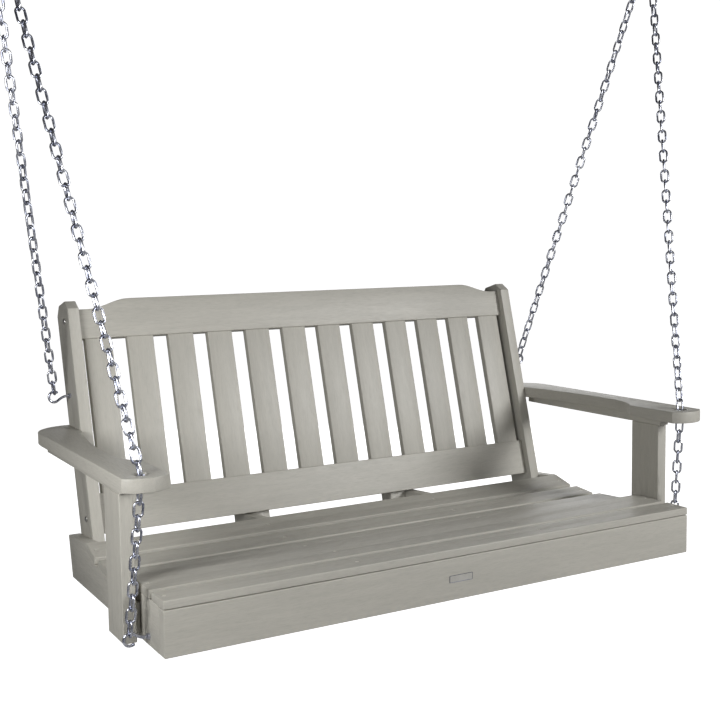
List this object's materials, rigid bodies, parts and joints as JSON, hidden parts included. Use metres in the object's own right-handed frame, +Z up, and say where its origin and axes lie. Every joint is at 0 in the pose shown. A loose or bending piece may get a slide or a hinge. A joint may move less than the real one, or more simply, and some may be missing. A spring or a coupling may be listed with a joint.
{
  "type": "porch swing",
  "caption": "Hanging bench with a slatted seat, a leaning slatted back with a raised top rail and flat arms, on two pairs of link chains from ceiling hooks.",
  "frame": {"origin": "on the ceiling plane, midway between the two ceiling hooks' shanks", "axes": "+X along the seat to the sitter's left, which is the viewer's right from the front, -Y to the front of the seat, +Z up into the ceiling"},
  "size_m": [1.631, 0.6942, 1.5154],
  "materials": {
    "lumber": "matt extruded plastic lumber with fine lengthwise wood grain",
    "frame_lumber": "matt extruded plastic lumber with fine lengthwise wood grain",
    "chain": "bright zinc-plated welded link chain",
    "hooks": "bright zinc-plated wire",
    "fasteners": "stainless, satin",
    "label": "blank thin plate, satin"
  },
  "bodies": {
    "ceiling_hooks": {"ceiling_hook_left": "hooks", "ceiling_hook_right": "hooks"},
    "swing": {"apron": "lumber", "nosing": "lumber", "seat_slat_1": "lumber", "seat_slat_2": "lumber", "seat_slat_3": "lumber", "seat_slat_4": "lumber", "side_rail_left": "frame_lumber", "side_rail_right": "frame_lumber", "mid_rail_left": "frame_lumber", "mid_rail_right": "frame_lumber", "mid_cleat_left": "frame_lumber", "mid_cleat_right": "frame_lumber", "stile_left": "frame_lumber", "stile_right": "frame_lumber", "top_rail": "lumber", "bottom_rail": "lumber", "back_slat_1": "lumber", "back_slat_2": "lumber", "back_slat_3": "lumber", "back_slat_4": "lumber", "back_slat_5": "lumber", "back_slat_6": "lumber", "back_slat_7": "lumber", "back_slat_8": "lumber", "back_slat_9": "lumber", "back_slat_10": "lumber", "back_slat_11": "lumber", "back_slat_12": "lumber", "arm_left": "lumber", "arm_right": "lumber", "arm_post_left": "lumber", "arm_post_right": "lumber", "arm_brace_left": "frame_lumber", "arm_brace_right": "frame_lumber", "post_spacer_left": "frame_lumber", "post_spacer_right": "frame_lumber", "label_plate": "label", "seat_screws": "fasteners", "back_bolts": "fasteners", "stile_bolts": "fasteners", "post_bolts": "fasteners", "arm_screws": "fasteners", "cleat_screws": "fasteners", "apron_dowels": "frame_lumber", "hook_nuts": "fasteners", "front_hook_left": "hooks", "front_hook_right": "hooks", "rear_hook_left": "hooks", "rear_hook_right": "hooks", "front_chain_left": "chain", "front_chain_right": "chain", "rear_chain_left": "chain", "rear_chain_right": "chain"}
  },
  "joints": [
    {"name": "fore_aft_swing", "type": "hinge", "parent": "ceiling_hooks", "child": "swing", "pos_m": [0, 0, -0.0618], "axis": [1, 0, 0], "range_deg": [-30, 30]}
  ]
}
